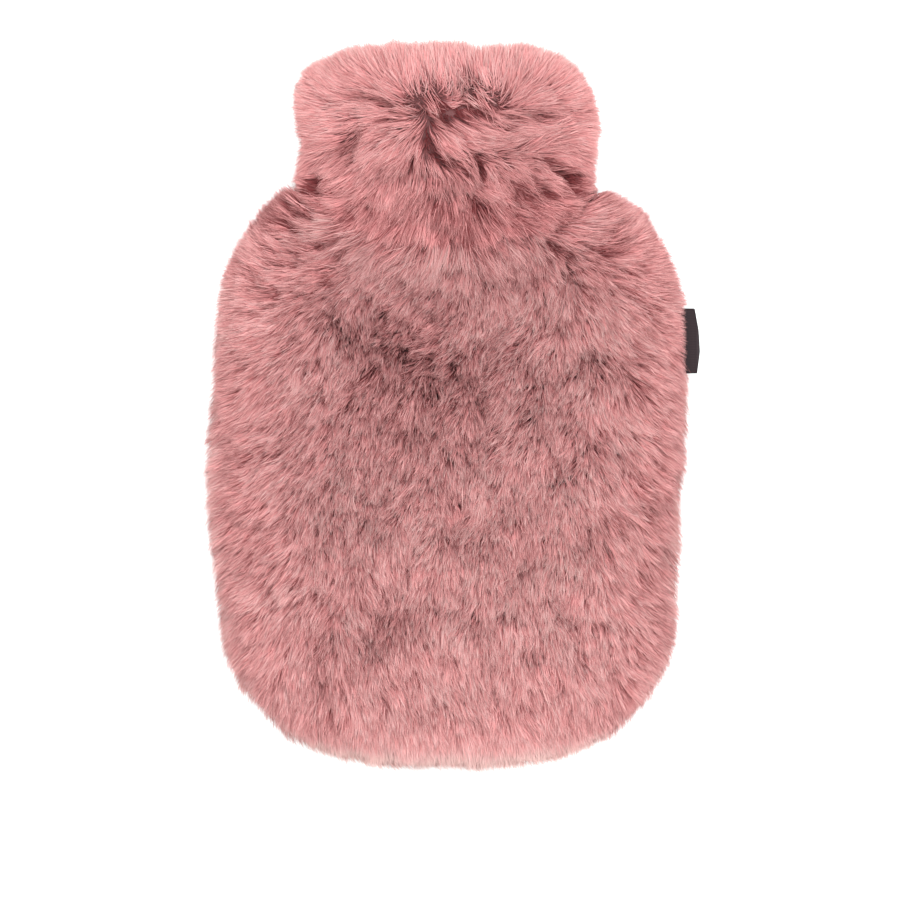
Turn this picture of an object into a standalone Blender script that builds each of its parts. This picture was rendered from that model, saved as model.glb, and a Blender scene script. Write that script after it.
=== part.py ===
"""Long-pile cover for a 2 litre hot water bottle, lying on its back, filled out as with a bottle inside.

Two fur panels are joined by a flat seam round the edge. Their neck edge carries a band of the same
fur, turned down as a roll collar. A folded ribbon label is caught in the right-hand side seam.
Metres, +Z up out of the front panel, +Y towards the collar, origin on the floor under the middle.
"""

import math
import random

import bmesh
import bpy
import numpy as np
from mathutils import Vector, noise

MM = 0.001
GAP = 0.3 * MM  # between pieces that touch

# ---- Driving sizes -------------------------------------------------------------------------------

# Outline of the body over the tips of its pile, clockwise from the middle of the neck: x, y in mm.
# The stretch over y = 118 is under the collar.
BODY_OUTLINE = (
    (0, 148),
    (40, 138),
    (66, 121),
    (81, 110),
    (98, 99),
    (114, 70),
    (122, 38),
    (121, 0),
    (118, -50),
    (115, -90),
    (115, -120),
    (103, -145),
    (84, -165),
    (50, -180),
    (0, -184),
    (-50, -180),
    (-86, -165),
    (-105, -143),
    (-116, -120),
    (-120, -88),
    (-124, -48),
    (-122, 5),
    (-119, 45),
    (-115, 72),
    (-99, 97),
    (-85, 110),
    (-70, 122),
    (-42, 138),
)
BODY_MIDDLE = Vector((0, -30 * MM))  # what the outline is measured round
TIP_REACH = 9 * MM  # how far single locks stand out past the closed pile
PILE_SIDE = 13 * MM  # closed pile and backing at the sides, outside the bottle
SEAM_Z = 28 * MM
CROWN = 40 * MM  # closed pile over the seam, at the middle of the front
BELLY = 34 * MM  # the back would reach this far under the seam, and the floor flattens it
ROUNDING = (2.8, 2.2)  # exponents of the cross-section: across, and up
NECK_EDGE = 118 * MM  # where the panels end and the collar is sewn on
NECK_X = -2.2 * MM  # middle of the neck, the mouth and the collar

# The space for the bottle.
BOTTLE_UP = 22 * MM
BOTTLE_DOWN = 20 * MM
BOTTLE_ROUNDING = (3.6, 3.0)
MOUTH_HALF = Vector((42 * MM, 13 * MM))  # half width and half height of the neck
MOUTH_Z = 30 * MM
NECK_TUBE = (60 * MM, 150 * MM)

# The roll collar: the inner leaf goes up from the neck edge, and the outer leaf comes down over it.
COLLAR_CREST = 175.5 * MM  # top of the closed pile at the fold
CORNER_DROP = (9 * MM, 4 * MM)  # how much lower the fold is at its right and left sides
COLLAR_HALF = Vector((77 * MM, 34.5 * MM))  # half width and half height over the closed pile
COLLAR_Z = 33.5 * MM
INNER_LEAF = Vector((9 * MM, 7 * MM))  # thickness at the sides, and above and below the mouth
LEAF_GAP = 1.6 * MM
SLOT_TOP = 146 * MM  # the gap between the leaves closes here
FOLD_FEET = (158 * MM, 149 * MM)  # where the leaves begin to round over: inside, outside
HEM_SIDE = 106 * MM  # lower edge of the outer leaf at the sides and back
HEM_SAG = 21 * MM  # how much lower it hangs at the middle of the front
LEAF_CLEARANCE = 1.6 * MM  # between the outer leaf and the shoulders
COLLAR_SQUARE = 2.5  # exponent of the collar's outline seen from its top end

# Creases of the collar's front, seen from above, in mm: from x, y, to x, y, half width, depth.
COLLAR_CREASES = (
    (52, 142, 38, 136, 5.5, 4.5),
    (38, 136, 20, 134, 5.5, 7.0),
    (20, 134, 4, 136, 5.5, 7.0),
    (3, 134, 1, 118, 5.0, 7.0),
    (1, 118, 14, 111, 5.5, 7.0),
    (14, 111, 30, 107, 5.5, 5.5),
    (-60, 141, -40, 139, 6.0, 4.0),
    (58, 122, 68, 117, 6.0, 5.0),
    (-66, 118, -56, 110, 6.0, 5.0),
)
# Places on the front where the pile parts and lies lower: x, y, half length, half width, turn, depth.
PILE_PARTINGS = (
    (-25, 38, 22, 9, -25, 3.5),
    (-60, 78, 20, 8, 35, 4.0),
    (26, 78, 14, 7, -30, 4.0),
    (66, 92, 16, 8, -30, 4.0),
    (-80, 62, 10, 7, 60, 3.0),
    (-38, -99, 16, 8, 70, 3.0),
    (-62, -105, 12, 6, 60, 2.5),
    (43, -73, 8, 4, 20, 3.0),
    (53, -30, 9, 4, 30, 3.0),
    (3, -50, 12, 7, 60, 3.0),
    (-20, -28, 12, 8, 40, 2.0),
    (95, 40, 16, 6, -70, 2.5),
    (70, -118, 12, 6, 80, 2.5),
    (-95, 4, 22, 5, 70, 2.0),
)

# Locks of pile that stand apart at the rims.
SEAM_LOCKS = 122
SEAM_TOP = 101 * MM  # they end here, under the collar
CREST_LOCKS = 44
HEM_LOCKS = 34
STRIP_RISE = 3 * MM  # height of the strip that a row of locks is rooted in
STRIP_HALF = 4.5 * MM  # half its width
LOCK_MIDDLE = (1.2, 0.6)  # width and thickness of a lock at its middle, against its root
LONE_LOCK_MIDDLE = (0.8, 0.6)  # the same in a row where all locks grow from one slope

# The woven label, a ribbon folded double.
LABEL_ENDS = (16 * MM, 49 * MM)
LABEL_ROOT = 105 * MM
LABEL_FOLD = (124.8 * MM, 126.0 * MM, 125.4 * MM, 123.6 * MM)  # its fold, from low y to high y
RIBBON = 0.8 * MM
RIBBON_GAP = 0.5 * MM

FRONT_CELLS = (42, 54)
BACK_CELLS = (20, 26)
BOTTLE_CELLS = (14, 18)
CLEAR_CELLS = (30, 38)
COLLAR_SPOKES = 68
FOLD_STEPS = 10
LEAF_STEPS = 11

FUR_PINK = (0.60, 0.27, 0.26, 1)
RIBBON_DARK = (0.055, 0.036, 0.042, 1)


# ---- Scene and small helpers ---------------------------------------------------------------------


def clear_scene():
    for found in list(bpy.data.objects):
        bpy.data.objects.remove(found)


def new_collection(name):
    made = bpy.data.collections.new(name)
    bpy.context.scene.collection.children.link(made)
    return made


def material(name, colour, roughness):
    made = bpy.data.materials.new(name)
    made.use_nodes = True
    shader = made.node_tree.nodes["Principled BSDF"]
    shader.inputs["Base Color"].default_value = colour
    shader.inputs["Roughness"].default_value = roughness
    shader.inputs["Metallic"].default_value = 0.0
    return made


def object_from(bm, name, collection, finish=None):
    """The bmesh as an object with its faces turned outwards."""
    bmesh.ops.recalc_face_normals(bm, faces=bm.faces)
    mesh = bpy.data.meshes.new(name)
    bm.to_mesh(mesh)
    bm.free()
    made = bpy.data.objects.new(name, mesh)
    collection.objects.link(made)
    if finish:
        mesh.materials.append(finish)
        mesh.shade_smooth()
    else:
        made.display_type = "WIRE"
        made.hide_render = True
    return made


def cut(target, cutter):
    boolean = target.modifiers.new(cutter.name, "BOOLEAN")
    boolean.operation = "DIFFERENCE"
    boolean.solver = "EXACT"
    boolean.object = cutter


def smooth_step(value, low, high):
    share = min(max((value - low) / (high - low), 0.0), 1.0)
    return share * share * (3 - 2 * share)


# ---- Outline -------------------------------------------------------------------------------------


def closed_spline(corners, steps):
    """A smooth closed line through the corners, with that many steps between two of them."""
    line = []
    count = len(corners)
    for i in range(count):
        before, start, end, after = (Vector(corners[(i + k) % count]) for k in (-1, 0, 1, 2))
        for step in range(steps):
            t = step / steps
            line.append(
                0.5
                * (
                    2 * start
                    + (end - before) * t
                    + (2 * before - 5 * start + 4 * end - after) * t**2
                    + (3 * start - before - 3 * end + after) * t**3
                )
            )
    return line


def moved_in(line, distance):
    """A clockwise closed line, moved inwards by that distance."""
    moved = []
    for i, point in enumerate(line):
        along = (line[(i + 1) % len(line)] - line[i - 1]).normalized()
        moved.append(point + distance * Vector((along.y, -along.x)))
    return moved


class Outline:
    """The body's outline in plan, by its distance from BODY_MIDDLE in each direction."""

    def __init__(self, inset):
        tips = [Vector(p) * MM for p in BODY_OUTLINE]
        self.line = moved_in(closed_spline(tips, 12), inset)
        away = [point - BODY_MIDDLE for point in self.line]
        angles = np.array([math.atan2(p.y, p.x) for p in away])
        order = np.argsort(angles)
        self.angles = angles[order]
        self.reach = np.array([p.length for p in away])[order]

    def at(self, angle):
        return float(np.interp(angle, self.angles, self.reach, period=2 * math.pi))


# ---- Lumps of the pile ---------------------------------------------------------------------------


def clumps(x, y):
    """How high the pile's clumps stand. They are long the way the pile lies, which is along Y."""
    tuft = noise.noise(Vector((x / (13 * MM), y / (25 * MM), 0.0)))
    swell = noise.noise(Vector((x / (44 * MM), y / (56 * MM), 7.0)))
    return (3.4 * tuft + 3.0 * swell) * MM


def parting(x, y):
    """How much lower the pile lies where it parts."""
    depth = 0.0
    for px, py, half_length, half_width, turn, low in PILE_PARTINGS:
        dx, dy = x / MM - px, y / MM - py
        c, s = math.cos(math.radians(turn)), math.sin(math.radians(turn))
        along, across = (dx * c + dy * s) / half_length, (dy * c - dx * s) / half_width
        depth += low * math.exp(-(along**2) - across**2)
    return depth * MM


def crease(x, y):
    """How deep the collar's creases are at a place seen from above."""
    deepest = 0.0
    here = Vector((x / MM, y / MM))
    for x0, y0, x1, y1, half_width, depth in COLLAR_CREASES:
        start, span = Vector((x0, y0)), Vector((x1 - x0, y1 - y0))
        share = min(max((here - start).dot(span) / span.length_squared, 0.0), 1.0)
        away = (here - start - share * span).length / half_width
        deepest = max(deepest, depth * math.exp(-(away**2)))
    return deepest * MM


# ---- Body ----------------------------------------------------------------------------------------


def even_turns(reach, rise, rounding, count):
    """Turns of a quarter superellipse, 0 at its top, that part its arc into equal steps."""
    turn = np.linspace(0, math.pi / 2, 400)
    out = reach * np.sin(turn) ** (2 / rounding[0])
    up = rise * np.cos(turn) ** (2 / rounding[1])
    length = np.concatenate([[0], np.cumsum(np.hypot(np.diff(out), np.diff(up)))])
    return np.interp(np.linspace(0, length[-1], count + 1), length, turn)


def half_body(name, collection, finish, outline, rise, rounding, cells, seam, relief=None, grow=0.0):
    """One half of the body from the seam outwards, closed by a flat face at the seam.

    The outside is a grid bent to the outline, whose squares round the middle become rings.
    """
    bm = bmesh.new()
    bmesh.ops.create_grid(bm, x_segments=cells[0], y_segments=cells[1], size=1)
    rings = 60
    turns = even_turns(130 * MM, abs(rise), rounding, rings)
    for vert in bm.verts:
        u, v = vert.co.x, vert.co.y
        angle = math.atan2(v * cells[1], u * cells[0])
        ring = max(abs(u), abs(v))
        turn = float(np.interp(ring * rings, range(rings + 1), turns))
        out = math.sin(turn) ** (2 / rounding[0]) * (outline.at(angle) + grow)
        up = max(math.cos(turn), 0.0) ** (2 / rounding[1]) * (rise + math.copysign(grow, rise))
        z = max(seam + up, -grow) if ring < 1 else seam
        middle = BODY_MIDDLE
        vert.co = Vector((middle.x + out * math.cos(angle), middle.y + out * math.sin(angle), z))
    rim = [edge for edge in bm.edges if edge.is_boundary]
    if relief:
        bm.normal_update()
        raised = [(v, relief(v.co) * v.normal) for v in bm.verts if not v.is_boundary]
        for vert, by in raised:
            vert.co += by
    bmesh.ops.edgeloop_fill(bm, edges=rim)
    return object_from(bm, name, collection, finish)


def front_relief(place):
    """Clumps and partings, fading out at the seam and under the collar."""
    edge = smooth_step(place.z, SEAM_Z + 5 * MM, SEAM_Z + 17 * MM)
    shoulder = 1 - smooth_step(place.y, HEM_SIDE - HEM_SAG - 2 * MM, HEM_SIDE - 4 * MM)
    return edge * shoulder * (clumps(place.x, place.y) - parting(place.x, place.y))


def neck_cutter(name, collection):
    """Everything past the panels' neck edge."""
    bm = bmesh.new()
    bmesh.ops.create_cube(bm, size=1)
    reach = Vector((160 * MM, 80 * MM, 160 * MM))
    middle = Vector((0, NECK_EDGE + reach.y / 2, SEAM_Z))
    for vert in bm.verts:
        vert.co = middle + vert.co * reach
    return object_from(bm, name, collection)


def bottle_neck_cutter(name, collection):
    """The neck's tube through the panels."""
    bm = bmesh.new()
    bmesh.ops.create_cone(bm, cap_ends=True, segments=40, radius1=1, radius2=1, depth=1)
    low, high = NECK_TUBE
    for vert in bm.verts:
        x, z, along = vert.co
        vert.co = Vector(
            (
                NECK_X + x * MOUTH_HALF.x,
                (low + high) / 2 + along * (high - low),
                MOUTH_Z + z * MOUTH_HALF.y,
            )
        )
    return object_from(bm, name, collection)


def label_cutter(name, collection):
    """The slot in the seam for the label's root."""
    bm = bmesh.new()
    bmesh.ops.create_cube(bm, size=1)
    low = Vector((LABEL_ROOT - GAP, LABEL_ENDS[0] - GAP, SEAM_Z - RIBBON - RIBBON_GAP / 2 - GAP))
    high = Vector((140 * MM, LABEL_ENDS[1] + GAP, SEAM_Z + RIBBON + RIBBON_GAP / 2 + GAP))
    for vert in bm.verts:
        vert.co = (low + high) / 2 + vert.co * (high - low)
    return object_from(bm, name, collection)


# ---- Lofts ---------------------------------------------------------------------------------------


def loft(bm, sections, closed_round):
    """Quads between sections of equal length, each a closed ring of points. Ends get a face."""
    rings = [[bm.verts.new(point) for point in section] for section in sections]
    pairs = list(zip(rings, rings[1:]))
    if closed_round:
        pairs.append((rings[-1], rings[0]))
    rows = []
    for near, far in pairs:
        size = len(near)
        rows.append(
            [bm.faces.new((near[i], near[(i + 1) % size], far[(i + 1) % size], far[i])) for i in range(size)]
        )
    if not closed_round:
        bm.faces.new(rings[0])
        bm.faces.new(rings[-1])
    return rows


# ---- Roll collar ---------------------------------------------------------------------------------


def oval(half, middle_z, turn, square=2.0):
    """A place on an oval round the neck, as x and z. At turn 0 it is at +X, at 90 degrees on top."""
    c, s = math.cos(turn), math.sin(turn)
    x = math.copysign(abs(c) ** (2 / square), c) * half.x
    z = math.copysign(abs(s) ** (2 / square), s) * half.y
    return Vector((NECK_X + x, middle_z + z))


def outside(turn, grow=0.0):
    """The collar's outline seen from its top end. The floor flattens its underside."""
    half = COLLAR_HALF + Vector((grow, grow))
    place = oval(half, COLLAR_Z, turn, COLLAR_SQUARE)
    place.y = max(place.y, 0.0)
    return place


def hem_y(turn):
    """The lower edge of the outer leaf, which sags over the front."""
    return HEM_SIDE - HEM_SAG * max(math.sin(turn), 0.0) ** 1.5


def crest_y(turn):
    """The top of the fold, which is lower at both sides of the collar."""
    return COLLAR_CREST - CORNER_DROP[math.cos(turn) < 0] * abs(math.cos(turn)) ** 4


def collar_section(turn):
    """The turned-down band at one place round the neck, as (x and z, y, share of the relief)."""
    mouth = oval(MOUTH_HALF, MOUTH_Z, turn)
    inner = oval(MOUTH_HALF + INNER_LEAF, MOUTH_Z, turn)
    slot = oval(MOUTH_HALF + INNER_LEAF + Vector((LEAF_GAP, LEAF_GAP)), MOUTH_Z, turn)
    skin = outside(turn)
    hem = hem_y(turn)
    rows = [(mouth, NECK_EDGE + GAP, 0.0), (mouth, 140 * MM, 0.0), (mouth, FOLD_FEET[0], 0.0)]
    # The fold, half a superellipse from the mouth over to the outside.
    for step in range(1, FOLD_STEPS):
        angle = math.pi * step / FOLD_STEPS
        share = 0.5 - 0.5 * math.copysign(abs(math.cos(angle)) ** 0.8, math.cos(angle))
        foot = FOLD_FEET[step > FOLD_STEPS / 2]
        y = foot + (crest_y(turn) - foot) * math.sin(angle) ** 0.9
        rows.append((mouth.lerp(skin, share), y, smooth_step(share, 0.6, 0.95)))
    for step in range(LEAF_STEPS):
        share = step / (LEAF_STEPS - 1)
        y = FOLD_FEET[1] + (hem + 3.5 * MM - FOLD_FEET[1]) * share
        rows.append((skin, y, smooth_step(y, hem + 12 * MM, hem + 18 * MM)))
    rows.append((slot.lerp(skin, 0.93), hem + 0.6 * MM, 0.0))
    rows.append((slot.lerp(skin, 0.5), hem - 1 * MM, 0.0))
    rows.append((slot, hem + 1 * MM, 0.0))
    rows.append((slot, SLOT_TOP, 0.0))
    rows.append((inner, SLOT_TOP, 0.0))
    rows.append((inner, NECK_EDGE + GAP, 0.0))
    return rows


def collar_relief(place, spread):
    """Clumps that run out from the middle of the front, and the creases there."""
    front = smooth_step(place.z, SEAM_Z, COLLAR_Z + COLLAR_HALF.y * 0.6)
    round_turn = math.atan2(place.z - COLLAR_Z, place.x)
    tuft = noise.noise(Vector((4.5 * round_turn, place.y / (16 * MM), 20.0)))
    swell = noise.noise(Vector((place.x / (34 * MM), place.y / (30 * MM), 31.0)))
    underside = smooth_step(place.z, 2 * MM, 14 * MM)
    return spread * underside * ((1.8 * tuft + 1.6 * swell) * MM - front * crease(place.x, place.y))


def make_collar(collection, finish):
    bm = bmesh.new()
    shares = []
    sections = []
    for spoke in range(COLLAR_SPOKES):
        rows = collar_section(2 * math.pi * spoke / COLLAR_SPOKES)
        sections.append([Vector((across.x, y, across.y)) for across, y, _ in rows])
        shares += [share for _, _, share in rows]
    loft(bm, sections, closed_round=True)
    bmesh.ops.recalc_face_normals(bm, faces=bm.faces)
    bm.normal_update()
    bm.verts.ensure_lookup_table()
    raised = [collar_relief(v.co, shares[i]) * v.normal for i, v in enumerate(bm.verts)]
    for vert, by in zip(bm.verts, raised):
        vert.co += by
    return object_from(bm, "roll_collar", collection, finish)


# ---- Locks ---------------------------------------------------------------------------------------


def grow_lock(bm, root, way, length, middle_size):
    """Draws one face of a strip out into a flat four-sided lock that ends in a point."""
    along = (root.verts[3].co - root.verts[0].co).normalized()
    middle = bmesh.ops.extrude_discrete_faces(bm, faces=[root])["faces"][0]
    centre = middle.calc_center_median()
    for vert in middle.verts:
        away = vert.co - centre
        wide = away.dot(along) * along
        thick = away - wide
        vert.co = centre + middle_size[0] * wide + middle_size[1] * thick + way * length * 0.42
    tip = bmesh.ops.poke(bm, faces=[middle])["verts"][0]
    tip.co = centre + way * length + Vector((0, -0.12 * length, 0))


def lock_row(name, collection, finish, sections, closed_round, way_of, length, chance, slopes=(0, 1)):
    """A strip of three-sided section with a lock at each station, on the given slopes by turns.

    A section is the strip's near edge, its ridge and its far edge, then back along its base.
    No lock grows where way_of gives no direction.
    """
    bm = bmesh.new()
    rows = loft(bm, sections, closed_round)
    middle_size = LOCK_MIDDLE if len(slopes) > 1 else LONE_LOCK_MIDDLE
    for i, row in enumerate(rows):
        slope = slopes[i % len(slopes)]
        root = row[slope]
        way = way_of(i, slope, root.calc_center_median())
        if way is None:
            continue
        wobble = Vector((chance.uniform(-1, 1), chance.uniform(-1, 1), chance.uniform(-1, 1)))
        way = (way + 0.14 * wobble).normalized()
        grow_lock(bm, root, way, length * chance.uniform(0.75, 1.2), middle_size)
    return object_from(bm, name, collection, finish)


def evenly(line, count):
    """That many points, equally far apart, on an open line."""
    points = np.array([tuple(p) for p in line])
    far = np.concatenate([[0], np.cumsum(np.linalg.norm(np.diff(points, axis=0), axis=1))])
    at = np.linspace(0, far[-1], count)
    return [Vector([float(np.interp(a, far, column)) for column in points.T]) for a in at]


def make_seam_locks(collection, finish, outline, chance):
    """Locks along the side and bottom seam, from one end of the collar round to the other."""
    line = outline.line
    right = next(i for i, p in enumerate(line) if p.y < SEAM_TOP and p.x > 0)
    left = max(i for i, p in enumerate(line) if p.y < SEAM_TOP and p.x < 0)
    path = evenly(line[right : left + 1], SEAM_LOCKS + 1)
    sections, outwards = [], []
    for i, point in enumerate(path):
        along = (path[min(i + 1, SEAM_LOCKS)] - path[max(i - 1, 0)]).normalized()
        out = Vector((-along.y, along.x))
        base, ridge = point + out * GAP, point + out * (GAP + STRIP_RISE)
        sections.append(
            [
                Vector((*base, SEAM_Z + STRIP_HALF)),
                Vector((*ridge, SEAM_Z)),
                Vector((*base, SEAM_Z - STRIP_HALF)),
            ]
        )
        outwards.append(Vector((*out, 0)))

    def way_of(i, slope, place):
        if place.x > 0 and LABEL_ENDS[0] - 4 * MM < place.y < LABEL_ENDS[1] + 4 * MM:
            return None
        return outwards[i] + Vector((0, -0.3, (0.45, -0.3)[slope]))

    return lock_row("seam_locks", collection, finish, sections, False, way_of, 9.6 * MM, chance)


def make_crest_locks(collection, finish, chance):
    """Locks that stand up from the collar's fold, all round the mouth."""
    sections, outwards = [], []
    for i in range(CREST_LOCKS):
        turn = 2 * math.pi * i / CREST_LOCKS
        mouth, skin = oval(MOUTH_HALF, MOUTH_Z, turn), outside(turn)
        out = (skin - mouth).normalized()
        ridge = mouth.lerp(skin, 0.5)
        half = min(STRIP_HALF, 0.3 * (skin - mouth).length)
        near, far = ridge - out * half, ridge + out * half
        foot = crest_y(turn) + 0.5 * MM
        sections.append(
            [
                Vector((far.x, foot, far.y)),
                Vector((ridge.x, foot + STRIP_RISE, ridge.y)),
                Vector((near.x, foot, near.y)),
            ]
        )
        outwards.append(Vector((out.x, 0, out.y)))

    def way_of(i, slope, _):
        return Vector((0, 1.25, 0)) + outwards[i] * (0.5, 0.12)[slope]

    return lock_row("crest_locks", collection, finish, sections, True, way_of, 9 * MM, chance)


def make_hem_locks(collection, finish, chance):
    """Locks at the collar's lower edge, over the front and down both sides."""
    first, last = math.radians(10), math.radians(170)
    sections, outwards, downs = [], [], []
    for i in range(HEM_LOCKS + 1):
        turn = first + (last - first) * i / HEM_LOCKS
        skin, around = outside(turn), outside(turn + 0.01) - outside(turn - 0.01)
        out = Vector((around.y, -around.x)).normalized()
        y = hem_y(turn) + 7 * MM
        base, ridge = skin + out * GAP, skin + out * (GAP + STRIP_RISE)
        sections.append(
            [
                Vector((base.x, y + STRIP_HALF, base.y)),
                Vector((ridge.x, y, ridge.y)),
                Vector((base.x, y - STRIP_HALF, base.y)),
            ]
        )
        outwards.append(Vector((out.x, 0, out.y)))
        downs.append(max(math.sin(turn), 0.0) ** 2)

    def way_of(i, slope, _):
        return Vector((0, -0.7 - 0.5 * downs[i], 0)) + outwards[i] * (0.9 - 0.5 * downs[i])

    return lock_row("hem_locks", collection, finish, sections, False, way_of, 11 * MM, chance, (1,))


# ---- Label ---------------------------------------------------------------------------------------


def make_label(collection, finish):
    """A ribbon folded double, fold outwards, with a slightly bowed fold."""
    half = RIBBON + RIBBON_GAP / 2
    inner = RIBBON_GAP / 2
    stations = len(LABEL_FOLD)
    sections = []
    for i, fold in enumerate(LABEL_FOLD):
        y = LABEL_ENDS[0] + (LABEL_ENDS[1] - LABEL_ENDS[0]) * i / (stations - 1)
        section = [(LABEL_ROOT, inner), (LABEL_ROOT, half)]
        for step in range(7):
            turn = math.radians(90 - 30 * step)
            section.append((fold - half + half * math.cos(turn), half * math.sin(turn)))
        section += [(LABEL_ROOT, -half), (LABEL_ROOT, -inner)]
        for step in range(4):
            turn = math.radians(-90 + 60 * step)
            section.append((fold - half + inner * math.cos(turn), inner * math.sin(turn)))
        sections.append([Vector((x, y, SEAM_Z + z)) for x, z in section])
    bm = bmesh.new()
    loft(bm, sections, closed_round=False)
    return object_from(bm, "side_label", collection, finish)


# ---- The whole cover -----------------------------------------------------------------------------


def main():
    clear_scene()
    chance = random.Random(11)
    parts = new_collection("hot_water_bottle_cover")
    cutters = new_collection("cutters")
    fur = material("fur_pink", FUR_PINK, 0.85)
    ribbon = material("label_ribbon", RIBBON_DARK, 0.6)

    pile = Outline(TIP_REACH)
    bottle = Outline(TIP_REACH + PILE_SIDE)
    up, down = SEAM_Z + GAP / 2, SEAM_Z - GAP / 2
    front = half_body("front_panel", parts, fur, pile, CROWN, ROUNDING, FRONT_CELLS, up, front_relief)
    back = half_body("back_panel", parts, fur, pile, -BELLY, ROUNDING, BACK_CELLS, down)
    collar = make_collar(parts, fur)
    seam_locks = make_seam_locks(parts, fur, pile, chance)
    make_crest_locks(parts, fur, chance)
    make_hem_locks(parts, fur, chance)
    make_label(parts, ribbon)

    room = (BOTTLE_ROUNDING, BOTTLE_CELLS)
    bottle_top = half_body("bottle_top", cutters, None, bottle, BOTTLE_UP, *room, SEAM_Z - MM)
    bottle_back = half_body("bottle_back", cutters, None, bottle, -BOTTLE_DOWN, *room, SEAM_Z + MM)
    bottle_neck = bottle_neck_cutter("bottle_neck", cutters)
    past_neck = neck_cutter("past_neck", cutters)
    label_slot = label_cutter("label_slot", cutters)
    for panel, hollow in ((front, bottle_top), (back, bottle_back)):
        for cutter in (hollow, bottle_neck, past_neck, label_slot):
            cut(panel, cutter)
    cut(seam_locks, label_slot)

    # The collar's outer leaf is seated on the shoulders, a little clear of them.
    for name, rise, relief in (("front_clear", CROWN, front_relief), ("back_clear", -BELLY, None)):
        clear = half_body(name, cutters, None, pile, rise, ROUNDING, CLEAR_CELLS, SEAM_Z, relief, LEAF_CLEARANCE)
        cut(clear, past_neck)
        cut(collar, clear)


main()
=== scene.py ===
import math

import bpy
import numpy as np
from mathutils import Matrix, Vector
from mathutils.bvhtree import BVHTree
from mathutils.kdtree import KDTree


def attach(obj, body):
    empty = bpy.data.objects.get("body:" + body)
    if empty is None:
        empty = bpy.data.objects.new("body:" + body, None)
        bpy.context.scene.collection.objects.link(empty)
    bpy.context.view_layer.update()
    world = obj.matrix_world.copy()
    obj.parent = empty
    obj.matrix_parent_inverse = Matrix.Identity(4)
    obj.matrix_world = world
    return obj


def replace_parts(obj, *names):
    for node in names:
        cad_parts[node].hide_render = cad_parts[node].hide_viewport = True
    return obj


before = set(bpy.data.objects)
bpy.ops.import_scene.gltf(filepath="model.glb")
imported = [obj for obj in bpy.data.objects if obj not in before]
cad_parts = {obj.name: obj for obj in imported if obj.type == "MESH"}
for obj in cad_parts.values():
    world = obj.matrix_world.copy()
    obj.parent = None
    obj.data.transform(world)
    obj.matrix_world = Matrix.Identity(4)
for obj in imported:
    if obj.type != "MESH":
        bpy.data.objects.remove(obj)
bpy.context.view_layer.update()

MM = 0.001

# ---- The table it lies on, the light and the camera ------------------------------------------------
# The cover is shown from straight above on a white ground, under one broad soft light over it
# with white walls all round, so that it casts hardly a shadow. Its rims glow partly in that light
# and partly by painted light in the colour of the pile.
PIXEL = 0.507 * MM  # one pixel of the 900 pixel picture, at the height of the side seam
PICTURE_MIDDLE = Vector((-0.5, -22.8)) * MM
SEAM_Z = 28 * MM
CAMERA_HEIGHT = 2.0

camera = bpy.data.objects.new("camera", bpy.data.cameras.new("camera"))
bpy.context.scene.collection.objects.link(camera)
camera.location = (PICTURE_MIDDLE.x, PICTURE_MIDDLE.y, SEAM_Z + CAMERA_HEIGHT)
camera.data.sensor_width = 36
camera.data.lens = 36 * CAMERA_HEIGHT / (900 * PIXEL)
camera.data.clip_start = 0.05
bpy.context.scene.camera = camera

world = bpy.data.worlds.new("white_walls")
world.use_nodes = True
world.node_tree.nodes["Background"].inputs["Color"].default_value = (0.88, 0.985, 0.975, 1)
world.node_tree.nodes["Background"].inputs["Strength"].default_value = 0.8
bpy.context.scene.world = world
bpy.context.scene.view_settings.view_transform = "Standard"


def soft_light(name, place, aim, side, watts):
    light = bpy.data.objects.new(name, bpy.data.lights.new(name, "AREA"))
    light.data.size = side
    light.data.energy = watts
    light.location = place
    light.rotation_euler = (Vector(aim) - Vector(place)).to_track_quat("-Z", "Y").to_euler()
    bpy.context.scene.collection.objects.link(light)


soft_light("overhead_light", (0.08, 0.12, 1.7), (0, 0, 0), 1.1, 68)

floor_mesh = bpy.data.meshes.new("floor")
floor_mesh.from_pydata([(-3, -3, 0), (3, -3, 0), (3, 3, 0), (-3, 3, 0)], [], [(0, 1, 2, 3)])
floor = bpy.data.objects.new("floor", floor_mesh)
bpy.context.scene.collection.objects.link(floor)
white = bpy.data.materials.new("white_ground")
white.use_nodes = True
white.node_tree.nodes["Principled BSDF"].inputs["Base Color"].default_value = (0.89, 0.92, 0.92, 1)
white.node_tree.nodes["Principled BSDF"].inputs["Roughness"].default_value = 0.9
floor_mesh.materials.append(white)


# ---- The front panel ---------------------------------------------------------------------------------
# Long-pile faux fur, sewn to the back panel in a flat seam: a knitted backing with a dense underfur,
# and over it pile about 20 mm long in fine tufts. It is brushed down from the collar and outwards at
# the sides, stands nearly upright in the middle, and parts in small gaps all over, dark with shade
# that is partly painted into the colour of the pile.
PILE_DEPTH = 9 * MM  # from the closed surface of the pile down to where single hairs are rooted
UNDERFUR_DEPTH = 9.5 * MM
PILE_LENGTH = 18.5 * MM
LONGER_AT_COLLAR = 11 * MM  # where the pile runs on from under the collar's edge
FRONT_HAIRS = 285000
HAIR_WIDTH = 0.41 * MM
LARGE_TUFT = 8 * MM
SMALL_TUFT = 1.6 * MM
STRAY = 1.2 * MM  # how unevenly the pile ends
BEND_AT = 0.55  # of a hair's length
STROKE_REACH = 5.5  # how near, in mm, a stroke of the brush rules the way of the pile
LOWEST = 0.2 * MM  # of any hair, over the table
WALL = 60 * MM  # more than any wall of the cover is thick
CLEAR = 120 * MM  # more than the cover is high

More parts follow.
